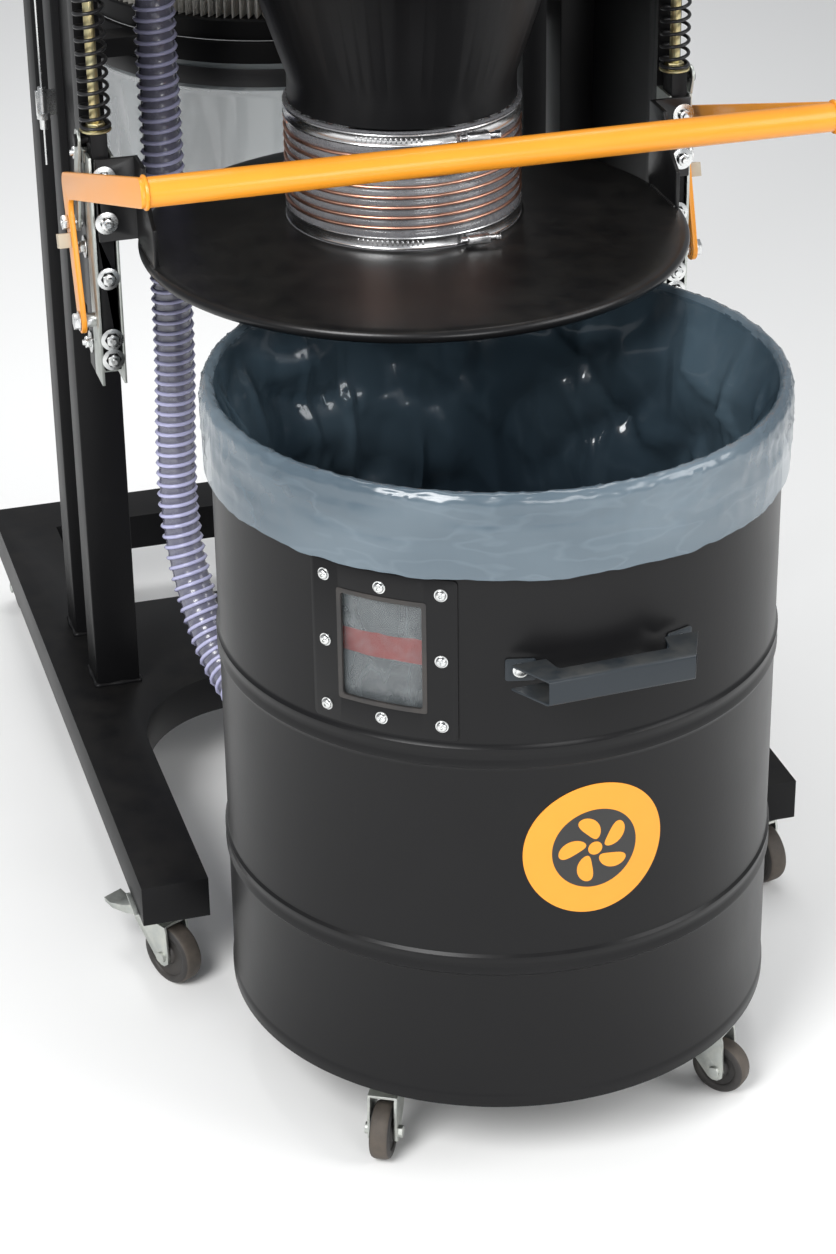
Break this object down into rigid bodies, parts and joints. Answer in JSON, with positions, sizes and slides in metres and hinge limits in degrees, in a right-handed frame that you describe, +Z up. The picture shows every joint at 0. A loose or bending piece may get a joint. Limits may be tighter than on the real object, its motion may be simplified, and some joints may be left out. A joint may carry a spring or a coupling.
{
  "type": "cyclone dust collector",
  "caption": "Workshop cyclone dust collector: wheeled frame, cone and blower over a lined drum on casters, lever operated lid, cartridge filter behind.",
  "frame": {"origin": "floor level, centre of the whole machine's footprint with the drum rolled out", "axes": "+Z up, +Y from the drum towards the filter, +X to the right seen from the drum"},
  "size_m": [0.8242, 1.5569, 2.19],
  "materials": {
    "painted_black": "black powder coat, satin",
    "zinc": "zinc plated sheet",
    "bolt_zinc": "bright zinc plated bolts",
    "motor_black": "black paint, cast fins",
    "filter_fabric": "pleated filter fabric",
    "bag_film": "thin clear film",
    "port_plastic": "black plastic",
    "box_grey": "light grey paint",
    "stainless": "stainless band",
    "aluminium": "cast aluminium",
    "green_plastic": "green button",
    "red_plastic": "red button",
    "gasket_rubber": "soft black foam rubber",
    "yellow_zinc": "yellow passivated zinc",
    "spring_black": "black oiled spring wire",
    "clear_hose": "clear grey plastic hose with a copper coloured wire",
    "lever_orange": "orange powder coat, satin",
    "drum_black": "black paint, satin",
    "clear_sheet": "clear plastic sheet",
    "handle_slate": "dark slate powder coat",
    "emblem_orange": "printed sticker, satin",
    "liner_film": "thin blue grey film",
    "clear_hose_small": "clear plastic hose with a pale violet helix",
    "caster_rubber": "hard black rubber"
  },
  "bodies": {
    "frame": {"base_frame": "painted_black", "posts": "painted_black", "top_frame": "painted_black", "guide_channels": "zinc", "guide_bolts": "bolt_zinc", "cable_adjuster": "bolt_zinc", "base_caster_plates": "zinc", "cyclone": "painted_black", "blower_housing": "painted_black", "motor_housing": "motor_black", "transfer_duct": "painted_black", "filter_head": "painted_black", "filter_canister": "filter_fabric", "filter_bracket": "painted_black", "collection_bag": "bag_film", "bag_clamp": "port_plastic", "control_box": "box_grey", "vacuum_pipe": "port_plastic", "outlet_band": "stainless"},
    "rotor": {"impeller": "aluminium"},
    "crank": {"cleaning_crank": "painted_black"},
    "start": {"start_button": "green_plastic"},
    "stop": {"stop_button": "red_plastic"},
    "lid": {"lid": "painted_black", "lid_gasket": "gasket_rubber", "lid_brackets": "painted_black", "carriage_bars": "painted_black", "spring_rods": "yellow_zinc", "lid_springs": "spring_black", "coupling_hose": "clear_hose", "lid_band": "stainless"},
    "lever": {"lever": "lever_orange", "lever_bolts": "bolt_zinc"},
    "links": {"lift_links": "zinc"},
    "drum": {"drum": "drum_black", "drum_window_frame": "drum_black", "drum_window": "clear_sheet", "window_screws": "bolt_zinc", "drum_handle": "handle_slate", "drum_emblem": "emblem_orange", "liner_bag": "liner_film", "drum_port": "port_plastic", "drum_caster_plates": "zinc", "drum_hose": "clear_hose_small"},
    "base_caster_fl": {"base_fork_fl": "zinc"},
    "base_roller_fl": {"base_wheel_fl": "caster_rubber"},
    "base_caster_fr": {"base_fork_fr": "zinc"},
    "base_roller_fr": {"base_wheel_fr": "caster_rubber"},
    "base_caster_rl": {"base_fork_rl": "zinc"},
    "base_roller_rl": {"base_wheel_rl": "caster_rubber"},
    "base_caster_rr": {"base_fork_rr": "zinc"},
    "base_roller_rr": {"base_wheel_rr": "caster_rubber"},
    "drum_caster_fl": {"drum_fork_fl": "zinc"},
    "drum_roller_fl": {"drum_wheel_fl": "caster_rubber"},
    "drum_caster_fr": {"drum_fork_fr": "zinc"},
    "drum_roller_fr": {"drum_wheel_fr": "caster_rubber"},
    "drum_caster_rl": {"drum_fork_rl": "zinc"},
    "drum_roller_rl": {"drum_wheel_rl": "caster_rubber"},
    "drum_caster_rr": {"drum_fork_rr": "zinc"},
    "drum_roller_rr": {"drum_wheel_rr": "caster_rubber"}
  },
  "joints": [
    {"name": "rotor_spin", "type": "hinge", "parent": "frame", "child": "rotor", "pos_m": [-0.00887, -0.07355, 1.9], "axis": [0, 0, 1], "continuous": true},
    {"name": "crank_turn", "type": "hinge", "parent": "frame", "child": "crank", "pos_m": [-0.00887, 0.52645, 1.89], "axis": [0, 0, 1], "continuous": true},
    {"name": "start_push", "type": "slide", "parent": "frame", "child": "start", "axis": [0, 1, 0], "range_m": [0, 0.004], "stiffness_N_per_m": 900, "springref_m": -0.001},
    {"name": "stop_push", "type": "slide", "parent": "frame", "child": "stop", "axis": [0, 1, 0], "range_m": [0, 0.004], "stiffness_N_per_m": 900, "springref_m": -0.001},
    {"name": "lever_tilt", "type": "hinge", "parent": "frame", "child": "lever", "pos_m": [-0.00887, -0.02955, 0.745], "axis": [1, 0, 0], "range_deg": [-13.7, 0]},
    {"name": "lid_lift", "type": "slide", "parent": "frame", "child": "lid", "axis": [0, 0, 1], "range_m": [-0.022, 0], "deforming": ["lid_springs", "coupling_hose"]},
    {"name": "link_swing", "type": "hinge", "parent": "lever", "child": "links", "pos_m": [-0.00887, 0.00444, 0.84962], "axis": [1, 0, 0], "range_deg": [0, 27.4]},
    {"name": "drum_roll", "type": "slide", "parent": "frame", "child": "drum", "axis": [0.0187, 0.9998, 0], "range_m": [-0.25, 0.32], "deforming": ["drum_hose"]},
    {"name": "base_swivel_fl", "type": "hinge", "parent": "frame", "child": "base_caster_fl", "pos_m": [-0.36087, -0.22155, 0.08], "axis": [0, 0, 1], "continuous": true},
    {"name": "base_spin_fl", "type": "hinge", "parent": "base_caster_fl", "child": "base_roller_fl", "pos_m": [-0.34887, -0.24233, 0.0375], "axis": [0.866, 0.5, 0], "continuous": true},
    {"name": "base_swivel_fr", "type": "hinge", "parent": "frame", "child": "base_caster_fr", "pos_m": [0.37613, -0.22155, 0.08], "axis": [0, 0, 1], "continuous": true},
    {"name": "base_spin_fr", "type": "hinge", "parent": "base_caster_fr", "child": "base_roller_fr", "pos_m": [0.38234, -0.24473, 0.0375], "axis": [0.9659, 0.2588, 0], "continuous": true},
    {"name": "base_swivel_rl", "type": "hinge", "parent": "frame", "child": "base_caster_rl", "pos_m": [-0.34887, 0.71145, 0.08], "axis": [0, 0, 1], "continuous": true},
    {"name": "base_spin_rl", "type": "hinge", "parent": "base_caster_rl", "child": "base_roller_rl", "pos_m": [-0.35096, 0.73536, 0.0375], "axis": [-0.9962, -0.0872, 0], "continuous": true},
    {"name": "base_swivel_rr", "type": "hinge", "parent": "frame", "child": "base_caster_rr", "pos_m": [0.37313, 0.71145, 0.08], "axis": [0, 0, 1], "continuous": true},
    {"name": "base_spin_rr", "type": "hinge", "parent": "base_caster_rr", "child": "base_roller_rr", "pos_m": [0.3773, 0.73509, 0.0375], "axis": [-0.9848, 0.1736, 0], "continuous": true},
    {"name": "drum_swivel_fl", "type": "hinge", "parent": "drum", "child": "drum_caster_fl", "pos_m": [-0.19187, -0.61055, 0.08], "axis": [0, 0, 1], "continuous": true},
    {"name": "drum_spin_fl", "type": "hinge", "parent": "drum_caster_fl", "child": "drum_roller_fl", "pos_m": [-0.20502, -0.63527, 0.0315], "axis": [0.8829, -0.4695, 0], "continuous": true},
    {"name": "drum_swivel_fr", "type": "hinge", "parent": "drum", "child": "drum_caster_fr", "pos_m": [0.16213, -0.61055, 0.08], "axis": [0, 0, 1], "continuous": true},
    {"name": "drum_spin_fr", "type": "hinge", "parent": "drum_caster_fr", "child": "drum_roller_fr", "pos_m": [0.18087, -0.63136, 0.0315], "axis": [0.7431, 0.6691, 0], "continuous": true},
    {"name": "drum_swivel_rl", "type": "hinge", "parent": "drum", "child": "drum_caster_rl", "pos_m": [-0.19187, -0.25655, 0.08], "axis": [0, 0, 1], "continuous": true},
    {"name": "drum_spin_rl", "type": "hinge", "parent": "drum_caster_rl", "child": "drum_roller_rl", "pos_m": [-0.21332, -0.23855, 0.0315], "axis": [-0.6428, -0.766, 0], "continuous": true},
    {"name": "drum_swivel_rr", "type": "hinge", "parent": "drum", "child": "drum_caster_rr", "pos_m": [0.16213, -0.25655, 0.08], "axis": [0, 0, 1], "continuous": true},
    {"name": "drum_spin_rr", "type": "hinge", "parent": "drum_caster_rr", "child": "drum_roller_rr", "pos_m": [0.18507, -0.24049, 0.0315], "axis": [-0.5736, 0.8192, 0], "continuous": true}
  ],
  "couplings": [
    {"joint": "link_swing", "follows": "lever_tilt", "ratio": -2},
    {"joint": "lid_lift", "follows": "lever_tilt", "m_per_rad": 0.09201}
  ]
}
